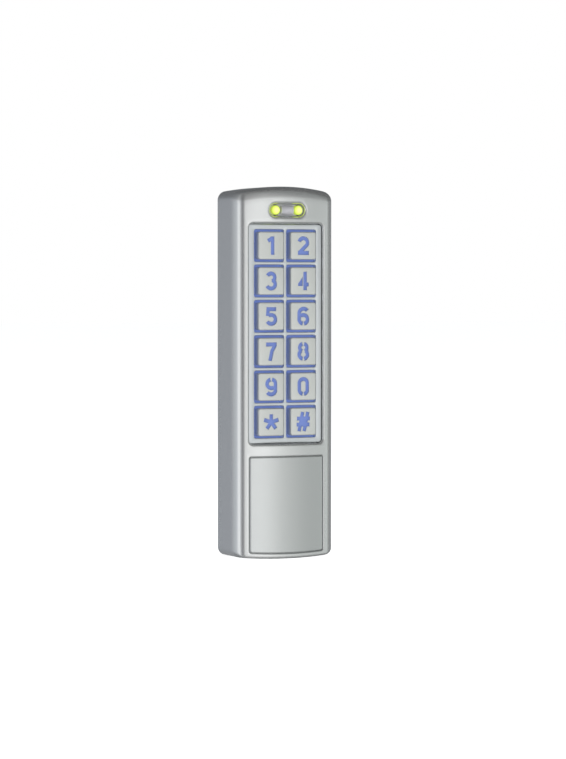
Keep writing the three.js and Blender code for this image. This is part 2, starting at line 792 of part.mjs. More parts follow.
addPiece('wall_bracket', makeWallBracket(), 'steel');
addPiece('wall_gasket', makeGasket(), 'rubber');
addPiece('housing', makeHousing(), 'silver');
addPiece('front_plate', makeFrontPlate(), 'plateSilver');
addPiece('keypad_frame', makeKeypadFrame(), 'silver');
addPiece('keymat', makeKeymat(), 'glowBlue');
addPiece('keypad_board', makeKeypadBoard(), 'boardGreen');
keyNames.forEach((name, i) => {
  const { x, z } = keyPlace(i);
  addPiece(`key_cap_${name}`, makeCap(name, x, z), 'keyMetal');
  addPiece(`key_core_${name}`, makeCore(x, z), 'glowBlue');
});
addPiece('status_lamp_left', makeLamp(-1), 'lampLime');
addPiece('status_lamp_right', makeLamp(1), 'lampLime');
addPiece('light_bar', makeLightBar(), 'clear');
addPiece('antenna_coil', makeAntennaCoil(), 'copper');
addPiece('ferrite_sheet', makeFerriteSheet(), 'darkPlastic');
addPiece('main_board', makeMainBoard(), 'boardGreen');
addPiece('board_connector', makeBoardConnector(), 'darkPlastic');
addPiece('controller_chip', makeControllerChip(), 'darkPlastic');
addPiece('relay', makeRelay(), 'darkPlastic');
addPiece('buzzer', makeBuzzer(), 'darkPlastic');
addPiece('terminal_block', makeTerminalBlock(), 'greenPlastic');
addPiece('board_screw_left', makeBoardScrew(-1), 'steel');
addPiece('board_screw_right', makeBoardScrew(1), 'steel');
addPiece('tamper_switch', makeTamperSwitch(), 'darkPlastic');
addPiece('tamper_plunger', makeTamperPlunger(), 'clear');
addPiece('back_cover', makeBackCover(), 'coverGrey');
addPiece('cable_grommet', makeGrommet(), 'rubber');
addPiece('cover_screw_top_left', makeCoverScrew(-cover.screwX, cover.screwZ), 'steel');
addPiece('cover_screw_top_right', makeCoverScrew(cover.screwX, cover.screwZ), 'steel');
addPiece('cover_screw_bottom_left', makeCoverScrew(-cover.screwX, -cover.screwZ), 'steel');
addPiece('cover_screw_bottom_right', makeCoverScrew(cover.screwX, -cover.screwZ), 'steel');
addPiece('security_screw', makeSecurityScrew(), 'steel');

export default group;
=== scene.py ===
from math import atan2, cos, degrees, radians, sin, sqrt, tan

import bmesh
import bpy
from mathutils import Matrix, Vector


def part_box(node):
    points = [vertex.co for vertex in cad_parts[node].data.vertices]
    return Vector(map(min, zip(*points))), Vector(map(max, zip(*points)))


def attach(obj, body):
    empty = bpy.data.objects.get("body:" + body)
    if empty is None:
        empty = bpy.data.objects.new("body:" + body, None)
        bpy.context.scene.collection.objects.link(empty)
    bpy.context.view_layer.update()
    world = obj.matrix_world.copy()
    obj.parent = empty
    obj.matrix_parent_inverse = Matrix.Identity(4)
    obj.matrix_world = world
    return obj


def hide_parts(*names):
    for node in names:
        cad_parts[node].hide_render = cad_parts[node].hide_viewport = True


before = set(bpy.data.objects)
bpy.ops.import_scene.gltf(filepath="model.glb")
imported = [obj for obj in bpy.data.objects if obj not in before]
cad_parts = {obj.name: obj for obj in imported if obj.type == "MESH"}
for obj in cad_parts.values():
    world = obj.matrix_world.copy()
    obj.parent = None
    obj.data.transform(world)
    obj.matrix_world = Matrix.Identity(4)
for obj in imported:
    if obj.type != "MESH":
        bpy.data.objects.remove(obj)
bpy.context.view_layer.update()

scene = bpy.context.scene
mm = 0.001  # shapes are worked out in millimetres
mergeDistance = 1e-8
farFront, farBack = -30, -10  # depths in mm between which a straight cutter clears the front wall
softAngle = 32  # degrees between faces past which an edge is shaded sharp


def boxInMm(node):
    low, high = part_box(node)
    return [c / mm for c in low], [c / mm for c in high]


def middleInMm(node):
    low, high = boxInMm(node)
    return [(a + b) / 2 for a, b in zip(low, high)]


# A mesh object from points in millimetres. Cutters are made without a body and are used up later.
def makePiece(name, points, faces, body=None, slot=None, material=None, replaced=(), smooth=softAngle):
    mesh = bpy.data.meshes.new(name)
    mesh.from_pydata([[c * mm for c in p] for p in points], [], faces)
    build = bmesh.new()
    build.from_mesh(mesh)
    bmesh.ops.remove_doubles(build, verts=build.verts, dist=mergeDistance)
    bmesh.ops.recalc_face_normals(build, faces=build.faces)
    build.to_mesh(mesh)
    build.free()
    piece = bpy.data.objects.new(name, mesh)
    scene.collection.objects.link(piece)
    if material:
        mesh.materials.append(material)
    softShade(piece, smooth)
    if body:
        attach(piece, body)
    if replaced:
        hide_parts(*replaced)
    return piece


def softShade(piece, angle=softAngle):
    piece.data.shade_smooth()
    piece.data.set_sharp_from_angle(angle=radians(angle))


# A closed solid through rings of equal length, capped at both ends.
def solidFromRings(rings, name="cutter", **rest):
    size = len(rings[0])
    faces = [tuple(range(size)), tuple((len(rings) - 1) * size + i for i in range(size))]
    for r in range(len(rings) - 1):
        for i in range(size):
            j = (i + 1) % size
            faces.append((r * size + i, r * size + j, (r + 1) * size + j, (r + 1) * size + i))
    return makePiece(name, [p for ring in rings for p in ring], faces, **rest)


# Joins or cuts a piece with others, which are used up.
def reshape(piece, steps, smooth=softAngle):
    for operation, tool in steps:
        step = piece.modifiers.new("shape", "BOOLEAN")
        step.operation = operation
        step.solver = "EXACT"
        step.object = tool
    evaluated = piece.evaluated_get(bpy.context.evaluated_depsgraph_get())
    finished = bpy.data.meshes.new_from_object(evaluated)
    piece.modifiers.clear()
    piece.data = finished
    for _, tool in steps:
        bpy.data.objects.remove(tool)
    softShade(piece, smooth)
    return piece


def cutAway(piece, cutters, smooth=softAngle):
    return reshape(piece, [("DIFFERENCE", cutter) for cutter in cutters], smooth)


def arc(x, y, radius, start, end, steps):
    turns = [radians(start + (end - start) * i / steps) for i in range(steps + 1)]
    return [(x + radius * cos(t), y + radius * sin(t)) for t in turns]


def mix(a, b, t):
    return a + (b - a) * t


# A rounded rectangle in X and Z, made larger by offset. Across is how many steps its top and bottom have,
# so that they can follow the crown.
def roundedOutline(x, z, width, height, radius, offset=0, across=1, corner=6):
    radius = max(radius + offset, 0.05)
    w, h = width / 2 + offset - radius, height / 2 + offset - radius
    top = [(mix(x + w, x - w, i / across), z + h + radius) for i in range(1, across)]
    bottom = [(mix(x - w, x + w, i / across), z - h - radius) for i in range(1, across)]
    return (
        arc(x + w, z + h, radius, 0, 90, corner) + top + arc(x - w, z + h, radius, 90, 180, corner)
        + arc(x - w, z - h, radius, 180, 270, corner) + bottom + arc(x + w, z - h, radius, 270, 360, corner)
    )


# Cuts through a surface and leaves the edge of the hole rounded: outline(offset) gives the hole's shape,
# surface(x, z) the depth of the face it goes through.
def flaredCutter(outline, surface, rounding, deep, reach=0.6, steps=6):
    start = 10  # degrees from the face at which the flare turns into a straight lead-in
    ahead = 3  # mm in front of the face where the cutter starts
    lip = rounding * (1 - sin(radians(start))) + reach
    rise = rounding * (1 - cos(radians(start))) - reach * tan(radians(start))
    rings = [
        [(x, surface(x, z) - ahead, z) for x, z in outline(lip)],
        [(x, surface(x, z) + rise, z) for x, z in outline(lip)],
    ]
    for k in range(steps + 1):
        turn = radians(mix(start, 90, k / steps))
        outward, depth = rounding * (1 - sin(turn)), rounding * (1 - cos(turn))
        rings.append([(x, surface(x, z) + depth, z) for x, z in outline(outward)])
    rings.append([(x, deep, z) for x, z in outline(0)])
    return solidFromRings(rings)


# Rings of a turned solid, from pairs of radius and distance along its axis. The axis runs along Y through
# (x, other), or upright through it.
def turnedRings(profile, x, other, sides=48, upright=False):
    turns = [radians(360 * i / sides) for i in range(sides)]
    if upright:
        return [[(x + r * cos(t), other + r * sin(t), z) for t in turns] for r, z in profile]
    return [[(x + r * cos(t), y, other + r * sin(t)) for t in turns] for r, y in profile]


print("looks")


def newMaterial(name, colour, metallic=0.0, roughness=0.5, **sockets):
    material = bpy.data.materials.new(name)
    material.use_nodes = True
    shader = material.node_tree.nodes["Principled BSDF"]
    shader.inputs["Base Color"].default_value = (*colour, 1)
    shader.inputs["Metallic"].default_value = metallic
    shader.inputs["Roughness"].default_value = roughness
    for socket, value in sockets.items():
        shader.inputs[socket.replace("_", " ")].default_value = value
    return material


def addNode(material, kind, **settings):
    node = material.node_tree.nodes.new(kind)
    for name, value in settings.items():
        if name in node.inputs:
            node.inputs[name].default_value = value
        else:
            setattr(node, name, value)
    return node


def link(material, source, target):
    material.node_tree.links.new(source, target)


def objectNoise(material, scale, detail=3.0, roughness=0.5, stretch=(1, 1, 1)):
    place = addNode(material, "ShaderNodeTexCoord")
    scaled = addNode(material, "ShaderNodeMapping")
    scaled.inputs["Scale"].default_value = stretch
    noise = addNode(material, "ShaderNodeTexNoise", Scale=scale, Detail=detail, Roughness=roughness)
    link(material, place.outputs["Object"], scaled.inputs["Vector"])
    link(material, scaled.outputs["Vector"], noise.inputs["Vector"])
    return noise.outputs["Fac"]


def fillRamp(ramp, spots):
    while len(ramp.elements) > 1:
        ramp.elements.remove(ramp.elements[-1])
    for k, (position, colour) in enumerate(spots):
        spot = ramp.elements[0] if k == 0 else ramp.elements.new(position)
        spot.position = position
        spot.color = (*colour, 1)


def varyColour(material, factor, dark, light, low=0.3, high=0.7):
    ramp = addNode(material, "ShaderNodeValToRGB")
    ramp.color_ramp.elements[0].position = low
    ramp.color_ramp.elements[0].color = (*dark, 1)
    ramp.color_ramp.elements[1].position = high
    ramp.color_ramp.elements[1].color = (*light, 1)
    link(material, factor, ramp.inputs["Fac"])
    link(material, ramp.outputs["Color"], material.node_tree.nodes["Principled BSDF"].inputs["Base Color"])


def varyRoughness(material, factor, low, high):
    span = addNode(material, "ShaderNodeMapRange")
    span.inputs["To Min"].default_value = low
    span.inputs["To Max"].default_value = high
    link(material, factor, span.inputs["Value"])
    link(material, span.outputs["Result"], material.node_tree.nodes["Principled BSDF"].inputs["Roughness"])


def addBump(material, factor, height, strength=1.0):
    bump = addNode(material, "ShaderNodeBump", Strength=strength, Distance=height)
    link(material, factor, bump.inputs["Height"])
    link(material, bump.outputs["Normal"], material.node_tree.nodes["Principled BSDF"].inputs["Normal"])


# Satin metallic paint: fine flake in the colour, a faint orange peel and slightly uneven gloss.
def metallicPaint(name, colour, roughness, flake=0.05):
    material = newMaterial(name, colour, 0.82, roughness, Coat_Weight=0.12, Coat_Roughness=0.3)
    fine = objectNoise(material, 7000, 2)
    varyColour(material, fine, [c * (1 - flake) for c in colour], [min(c * (1 + flake), 1) for c in colour])
    varyRoughness(material, objectNoise(material, 240, 3), roughness - 0.02, roughness + 0.02)
    addBump(material, objectNoise(material, 3500, 2), 0.000003, 0.05)
    return material


def mouldedPlastic(name, colour, roughness, grain=2600, height=0.00002):
    material = newMaterial(name, colour, 0, roughness)
    varyColour(material, objectNoise(material, 90, 4), [c * 0.88 for c in colour], [c * 1.1 for c in colour])
    varyRoughness(material, objectNoise(material, 500, 3), roughness - 0.06, roughness + 0.06)
    addBump(material, objectNoise(material, grain, 2), height, 0.4)
    return material


def sheetSteel(name, colour, roughness, stretch=(1, 1, 30)):
    material = newMaterial(name, colour, 1, roughness)
    brushed = objectNoise(material, 900, 4, 0.6, stretch)
    varyColour(material, brushed, [c * 0.9 for c in colour], [min(c * 1.06, 1) for c in colour])
    varyRoughness(material, objectNoise(material, 160, 3), roughness - 0.07, roughness + 0.08)
    addBump(material, brushed, 0.000008, 0.3)
    return material


# Silicone that carries light: blue glow, a little uneven from key to key.
def litSilicone(name, colour, glow, strength):
    material = newMaterial(name, colour, 0, 0.5)
    shader = material.node_tree.nodes["Principled BSDF"]
    shader.inputs["Emission Strength"].default_value = strength
    ramp = addNode(material, "ShaderNodeValToRGB")
    ramp.color_ramp.elements[0].color = (*[c * 0.75 for c in glow], 1)
    ramp.color_ramp.elements[1].color = (*[min(c * 1.25, 1) for c in glow], 1)
    link(material, objectNoise(material, 130, 2), ramp.inputs["Fac"])
    link(material, ramp.outputs["Color"], shader.inputs["Emission Color"])
    addBump(material, objectNoise(material, 1800, 2), 0.00001, 0.2)
    return material


# A lens with a lamp behind it: hottest on its own axis and greener toward its rim. The two lamps stand at
# equal distances left and right of the middle, so one measure of distance serves both.
def litLens(name, rim, middle, core, strength):
    material = newMaterial(name, [c * 0.5 for c in middle], 0, 0.15)
    shader = material.node_tree.nodes["Principled BSDF"]
    shader.inputs["Emission Strength"].default_value = strength
    low, high = boxInMm("status_lamp_right")
    x, _, z = middleInMm("status_lamp_right")
    place = addNode(material, "ShaderNodeTexCoord")
    parts = addNode(material, "ShaderNodeSeparateXYZ")
    side = addNode(material, "ShaderNodeMath", operation="ABSOLUTE")
    flat = addNode(material, "ShaderNodeCombineXYZ")
    away = addNode(material, "ShaderNodeVectorMath", operation="DISTANCE")
    away.inputs[1].default_value = (x * mm, 0, z * mm)
    share = addNode(material, "ShaderNodeMapRange")
    share.inputs["From Max"].default_value = (high[2] - low[2]) / 2 * mm
    ramp = addNode(material, "ShaderNodeValToRGB")
    fillRamp(ramp.color_ramp, [(0.3, core), (0.72, middle), (0.95, rim)])
    link(material, place.outputs["Object"], parts.inputs["Vector"])
    link(material, parts.outputs["X"], side.inputs[0])
    link(material, side.outputs["Value"], flat.inputs["X"])
    link(material, parts.outputs["Z"], flat.inputs["Z"])
    link(material, flat.outputs["Vector"], away.inputs[0])
    link(material, away.outputs["Value"], share.inputs["Value"])
    link(material, share.outputs["Result"], ramp.inputs["Fac"])
    link(material, ramp.outputs["Color"], shader.inputs["Emission Color"])
    addBump(material, objectNoise(material, 900, 2), 0.00001, 0.1)
    return material


# Clear plastic that looks milky from the light inside it.
def frostedBar(name, colour):
    material = newMaterial(name, colour, 0, 0.24, Coat_Weight=0.7, Coat_Roughness=0.12)
    cloudy = objectNoise(material, 320, 3)
    varyColour(material, cloudy, [c * 0.92 for c in colour], [c * 1.06 for c in colour])
    addBump(material, objectNoise(material, 1600, 2), 0.00001, 0.15)
    return material


paints = {
    "housing": metallicPaint("silverPaint", (0.68, 0.69, 0.685), 0.26, 0.035),
    "plate": metallicPaint("plateSilver", (0.53, 0.545, 0.54), 0.2, 0.03),
    "frame": metallicPaint("frameSilver", (0.74, 0.77, 0.79), 0.34, 0.03),
    "key": metallicPaint("keyMetal", (0.73, 0.745, 0.72), 0.38, 0.025),
    "glow": litSilicone("litSilicone", (0.08, 0.11, 0.26), (0.13, 0.19, 0.46), 0.8),
    "lamp": litLens("statusLamp", (0.36, 0.42, 0.06), (0.66, 0.83, 0.12), (0.95, 1.0, 0.38), 0.9),
    "bar": frostedBar("clearLightBar", (0.52, 0.52, 0.55)),
    "board": mouldedPlastic("circuitBoard", (0.02, 0.13, 0.06), 0.4),
    "copper": sheetSteel("copperCoil", (0.72, 0.36, 0.18), 0.35),
    "ferrite": mouldedPlastic("ferriteSheet", (0.05, 0.05, 0.055), 0.6),
    "dark": mouldedPlastic("darkPlastic", (0.03, 0.03, 0.034), 0.5),
    "terminal": mouldedPlastic("terminalGreen", (0.05, 0.24, 0.1), 0.42),
    "plunger": mouldedPlastic("plungerPlastic", (0.7, 0.72, 0.7), 0.4),
    "cover": mouldedPlastic("coverPlastic", (0.045, 0.048, 0.052), 0.55, 1800, 0.00004),
    "rubber": mouldedPlastic("blackRubber", (0.014, 0.014, 0.015), 0.8, 1400, 0.00005),
    "screw": sheetSteel("screwSteel", (0.6, 0.61, 0.62), 0.3, (1, 1, 1)),
    "bracket": sheetSteel("bracketSteel", (0.56, 0.58, 0.59), 0.34),
}


print("housing")

housingLow, housingHigh = boxInMm("housing")
shell = {
    "half": housingHigh[0],
    "front": housingLow[1],
    "back": housingHigh[1],
    "top": housingHigh[2],
    "bottom": housingLow[2],
    "wall": 2.0,
    "crown": 74.0,  # radius of the front face about a vertical axis
    "corner": 5.2,  # front vertical edges
    "topArch": 106.0,
    "bottomArch": 250.0,
    "sideRound": 3.0,  # side faces into the top and bottom
    "roll": 4.5,  # front face into the top
    "chin": 1.2,  # front face into the bottom
    "tightest": 1.2,  # the corners' least radius where the rounding draws them in
    "levels": 76,  # steps from bottom to top, and then those along each stretch of a level
    "across": 24,
    "sideSteps": 7,
    "cornerSteps": 16,
    "crownSteps": 49,
    "roundSteps": 8,
}


# How deep the front face lies at (x, z). It is the same all the way up.
def crownDepth(x, z=0):
    return shell["front"] + shell["crown"] - sqrt(shell["crown"] ** 2 - x ** 2)


def topHeight(x):
    return shell["top"] - shell["topArch"] + sqrt(shell["topArch"] ** 2 - x ** 2)


def bottomHeight(x):
    return shell["bottom"] + shell["bottomArch"] - sqrt(shell["bottomArch"] ** 2 - x ** 2)


# One level of the housing seen from above, from the left back edge round the front to the right back edge.
# Each point also says how much it belongs to the front, from 0 on a side face to 1 on the crown.
def shellSection(sideInset, frontInset):
    half = shell["half"] - sideInset
    corner = max(shell["corner"] - (sideInset + frontInset) / 2, shell["tightest"])
    middle = shell["front"] + frontInset + shell["crown"]
    across = half - corner
    along = sqrt((shell["crown"] - corner) ** 2 - across ** 2)
    tip = degrees(atan2(across, along))
    sides, fillet, crown = shell["sideSteps"], shell["cornerSteps"], shell["crownSteps"]
    left = [(-half, mix(shell["back"], middle - along, i / sides), 0.0) for i in range(sides)]
    turn = arc(-across, middle - along, corner, 180, 270 - tip, fillet)
    left += [(x, y, i / fillet) for i, (x, y) in enumerate(turn)]
    front = [(x, y, 1.0) for x, y in arc(0, middle, shell["crown"], 270 - tip, 270 + tip, crown)[1:-1]]
    return left + front + [(-x, y, w) for x, y, w in reversed(left)]


# The levels from bottom to top: the bottom rounding, the straight stretch and the top rounding.
def shellLevels(inset):
    levels = []
    rounding = shell["roundSteps"]

    def level(turn, bottom):
        side, front = shell["sideRound"], shell["chin"] if bottom else shell["roll"]
        shrink = 1 - cos(radians(turn))
        ring = []
        for x, y, w in shellSection(inset + side * shrink, inset + front * shrink):
            radius = mix(side, front, w * w * (3 - 2 * w))
            low, high = bottomHeight(x) + inset, topHeight(x) - inset
            drop = radius * (1 - sin(radians(turn)))
            ring.append((x, y, low + drop if bottom else high - drop))
        return ring

    levels += [level(90 * (1 - k / rounding), True) for k in range(rounding)]
    low, high = level(0, True), level(0, False)
    for k in range(shell["levels"] + 1):
        t = k / shell["levels"]
        levels.append([(a[0], a[1], mix(a[2], b[2], t)) for a, b in zip(low, high)])
    levels += [level(90 * (k + 1) / rounding, False) for k in range(rounding)]
    return levels


# The open-backed skin: its points, faces and the loop of points along its back edge.
def shellSkin(inset):
    levels = shellLevels(inset)
    size = len(levels[0])
    points = [p for ring in levels for p in ring]
    faces = []
    for r in range(len(levels) - 1):
        for i in range(size - 1):
            faces.append((r * size + i, r * size + i + 1, (r + 1) * size + i + 1, (r + 1) * size + i))
    loops = []
    for ring, height, sign in ((0, bottomHeight, 1), (len(levels) - 1, topHeight, -1)):
        rows = []
        for i in range(size // 2):
            left, right = ring * size + i, ring * size + size - 1 - i
            row = [left]
            if i < size // 2 - 1:
                for j in range(1, shell["across"]):
                    x = mix(points[left][0], points[right][0], j / shell["across"])
                    row.append(len(points))
                    points.append((x, points[left][1], height(x) + sign * inset))
            rows.append(row + [right])
        for near, far in zip(rows[:-2], rows[1:-1]):
            for j in range(shell["across"]):
                faces.append((near[j], near[j + 1], far[j + 1], far[j]))
        faces.append(tuple(rows[-2] + rows[-1][::-1]))
        loops.append(rows[0])
    leftEdge = [r * size for r in range(len(levels))]
    rightEdge = [r * size + size - 1 for r in range(len(levels))]
    return points, faces, loops[0] + rightEdge[1:] + loops[1][::-1][1:] + leftEdge[::-1][1:-1]


window = {"width": 32.2, "height": 87.6, "middle": 15.5, "radius": 1.8, "rounding": 0.9, "steps": 30}
lampSlot = {
    "height": 64.6, "length": 15.0, "width": 4.9, "steps": 16, "round": 12,
    "flat": 0.02,  # the ends are this much short of half round, which leaves them a short straight
    "rim": 1.3, "reach": 0.4, "rimSteps": 8,
}
coilOpening = {"width": 23.2, "height": 31.2, "radius": 1}  # behind the front plate
lockSink = {"depth": 1.2, "radius": 2.9, "bore": 1.9, "boreTop": -70, "sides": 40}
fixings = {
    "railHalf": 11.0, "railFront": -5.45, "railBottom": 69.0, "railTop": 72.6,
    "coverPost": 2.5, "coverBore": 1.6, "boardPost": 2.2, "boardBore": 1.2, "gap": 0.3, "sides": 32,
}


def windowOutline(offset):
    return roundedOutline(
        0, window["middle"], window["width"], window["height"], window["radius"], offset, window["steps"]
    )


def slotOutline(offset):
    length, width = lampSlot["length"], lampSlot["width"]
    end = width / 2 - lampSlot["flat"]
    return roundedOutline(
        0, lampSlot["height"], length, width, end, offset, lampSlot["steps"], lampSlot["round"]
    )


plateLow, plateHigh = boxInMm("front_plate")
plateLook = {
    "gap": 0.12, "radius": 0.8, "edge": 0.46, "thickness": 0.8, "seat": 0.95,
    "clear": 0.3,  # how far the seat's cutter reaches past the rounded edge
    "lead": 12,  # degrees from the face at which an edge rounding starts
    "seatSteps": 4,
}


# The plate's outline: straight top and sides, the bottom arched like the housing's.
def plateOutline(offset):
    middle = (plateLow[2] + plateHigh[2]) / 2
    width, height = plateHigh[0] - plateLow[0], plateHigh[2] - plateLow[2]
    flat = roundedOutline(0, middle, width, height, plateLook["radius"], offset, window["steps"])
    return [(x, z + x * x / (2 * shell["bottomArch"]) if z < middle else z) for x, z in flat]


# The rail that hangs on the wall hooks, and the posts that the cover and the board screw onto.
def housingFixings():
    half, front, back = fixings["railHalf"], fixings["railFront"], shell["back"]
    low, high = fixings["railBottom"], fixings["railTop"]
    rail = [[(x, front, low), (x, back, low), (x, back, high), (x, front, high)] for x in (-half, half)]
    added, bores = [solidFromRings(rail)], []
    for part, plate in (("cover", "back_cover"), ("board", "main_board")):
        post, bore = fixings[part + "Post"], fixings[part + "Bore"]
        seat = boxInMm(plate)[0][1] - fixings["gap"]
        for screw in [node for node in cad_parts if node.startswith(part + "_screw")]:
            x, _, z = middleInMm(screw)
            foot, tip, sides = crownDepth(x) + 1, boxInMm(screw)[0][1], fixings["sides"]
            added.append(solidFromRings(turnedRings([(post, foot), (post, seat)], x, z, sides)))
            bores.append(solidFromRings(turnedRings([(bore, tip - 1), (bore, seat + 1)], x, z, sides)))
    return added, bores


# The hole in the bottom edge for the lock screw, with a sink for its head.
def lockScrewCutters():
    x, y, _ = middleInMm("security_screw")
    sink, bore, sides = shell["bottom"] + lockSink["depth"], lockSink["bore"], lockSink["sides"]
    head = [(lockSink["radius"], shell["bottom"] - 1), (lockSink["radius"], sink)]
    shank = [(bore, sink - 1), (bore, lockSink["boreTop"])]
    return [solidFromRings(turnedRings(profile, x, y, sides, True)) for profile in (head, shank)]


def makeHousing():
    outer, outerFaces, outerLoop = shellSkin(0)
    inner, innerFaces, innerLoop = shellSkin(shell["wall"])
    start = len(outer)
    faces = outerFaces + [tuple(start + i for i in reversed(f)) for f in innerFaces]
    for k in range(len(outerLoop)):
        n = (k + 1) % len(outerLoop)
        faces.append((outerLoop[k], outerLoop[n], start + innerLoop[n], start + innerLoop[k]))
    piece = makePiece(
        "housing_shell", outer + inner, faces, "reader", "silver_paint", paints["housing"], ["housing"]
    )
    opening = roundedOutline(
        0, middleInMm("antenna_coil")[2], coilOpening["width"], coilOpening["height"], coilOpening["radius"]
    )
    added, bores = housingFixings()
    cutters = bores + [
        flaredCutter(windowOutline, crownDepth, window["rounding"], farBack),
        flaredCutter(
            slotOutline, crownDepth, lampSlot["rim"], farBack, lampSlot["reach"], lampSlot["rimSteps"]
        ),
        seatCutter(),
        solidFromRings([[(x, y, z) for x, z in opening] for y in (farFront, farBack)]),
    ] + lockScrewCutters()
    steps = [("UNION", post) for post in added] + [("DIFFERENCE", cutter) for cutter in cutters]
    return reshape(piece, steps, smooth=30)


# The shallow seat that the front plate lies in: a rounded edge, and a floor that follows the crown.
def seatCutter():
    gap, edge, steps = plateLook["gap"], plateLook["edge"], plateLook["seatSteps"]
    middle = (plateLow[2] + plateHigh[2]) / 2
    rim = plateOutline(gap + edge + plateLook["clear"])
    rings = [[(x, crownDepth(x) - ahead, z) for x, z in rim] for ahead in (2, 0.05)]
    for k in range(steps + 1):
        turn = radians(mix(plateLook["lead"], 90, k / steps))
        outline = plateOutline(gap + edge * (1 - sin(turn)))
        rings.append([(x, crownDepth(x) + edge * (1 - cos(turn)), z) for x, z in outline])
    for share in (1, 0.8, 0.6, 0.4, 0.2, 0.02):
        rings.append([
            (x * share, crownDepth(x * share) + plateLook["seat"], middle + (z - middle) * share)
            for x, z in plateOutline(gap)
        ])
    return solidFromRings(rings)


def makeFrontPlate():
    edge, middle = plateLook["edge"], (plateLow[2] + plateHigh[2]) / 2

    def ring(offset, depth, share=1.0):
        return [
            (x * share, crownDepth(x * share) + depth, middle + (z - middle) * share)
            for x, z in plateOutline(offset)
        ]

    rings = [ring(0, plateLook["thickness"], share) for share in (0.02, 0.25, 0.5, 0.75, 1)]
    for turn in (90, 70, 50, 30, plateLook["lead"]):
        rings.append(ring(-edge * (1 - sin(radians(turn))), edge * (1 - cos(radians(turn)))))
    face = (0.995, 0.97, 0.93, 0.87, 0.8, 0.7, 0.6, 0.5, 0.4, 0.3, 0.2, 0.1, 0.02)  # closer near the edge
    rings += [ring(-edge, 0, share) for share in face]
    return solidFromRings(
        rings, "front_plate_face", body="reader", slot="plate_silver", material=paints["plate"],
        replaced=["front_plate"],
    )


makeHousing()
makeFrontPlate()


print("keypad")

frameLow, frameHigh = boxInMm("keypad_frame")
keypad = {
    "face": frameLow[1], "back": frameHigh[1], "radius": 1.3, "edge": 0.35, "edgeSteps": 5,
    "sideGap": 0.15, "endGap": 0.25,  # between the lattice and its window
    "flange": 1, "flangeRadius": 1.5,  # the rim behind the window's edge
    "pocket": 12.8, "pocketRadius": 0.6, "pocketEdge": 0.28, "pocketReach": 0.03,
}
keyNames = ["1", "2", "3", "4", "5", "6", "7", "8", "9", "0", "star", "hash"]


# The lattice: a plate on a wider rim, with a pocket for each key.
def makeKeypadFrame():
    middle, face, back, edge = window["middle"], keypad["face"], keypad["back"], keypad["edge"]
    width, height = window["width"] - 2 * keypad["sideGap"], window["height"] - 2 * keypad["endGap"]
    rim = roundedOutline(
        0, middle, frameHigh[0] - frameLow[0], frameHigh[2] - frameLow[2], keypad["flangeRadius"], 0, 2
    )

    def outline(offset):
        return roundedOutline(0, middle, width, height, keypad["radius"], offset, 2)

    shoulder = back - keypad["flange"]
    rings = [[(x, depth, z) for x, z in rim] for depth in (back, shoulder)]
    rings.append([(x, shoulder, z) for x, z in outline(0)])
    for k in range(keypad["edgeSteps"] + 1):
        turn = radians(90 - 90 * k / keypad["edgeSteps"])
        rings.append([(x, face + edge * (1 - cos(turn)), z) for x, z in outline(-edge * (1 - sin(turn)))])
    piece = solidFromRings(
        rings, "keypad_lattice", body="reader", slot="frame_silver", material=paints["frame"],
        replaced=["keypad_frame"],
    )
    size, radius, reach = keypad["pocket"], keypad["pocketRadius"], keypad["pocketReach"]
    cutters = []
    for key in keyNames:
        x, _, z = middleInMm("key_cap_" + key)

        def pocket(offset, x=x, z=z):
            return roundedOutline(x, z, size, size, radius, offset, 1, 5)

        cutters.append(flaredCutter(pocket, lambda u, v: face, keypad["pocketEdge"], farBack, reach))
    return cutAway(piece, cutters, smooth=30)


caps = {
    "corner": 0.8, "edge": 0.4, "skin": 0.7, "wall": 0.7, "insideCorner": 0.4,
    "straight": 0.8,  # how far below the rounded edge the sides' last ring lies
    "edgeStep": 15,  # degrees
    "stroke": 1.5, "stretch": 1.06, "bevel": 0.1, "through": 0.2,
}


# An arc for a character, with a point about every eight degrees.
def bowl(x, z, radius, start, end):
    return arc(x, z, radius, start, end, max(4, round(abs(end - start) / 8)))


bridge = 10  # degrees left standing on each side of a stencil bridge
topLine, baseLine, edgeLine = 2.85, -2.85, 3.6
figureEight = [bowl(0, 1.5, 1.5, start, end) for start, end in ((77, -68), (103, 248))]
figureEight += [bowl(0, -1.25, 1.72, start, end) for start, end in ((60, -80), (120, 260))]

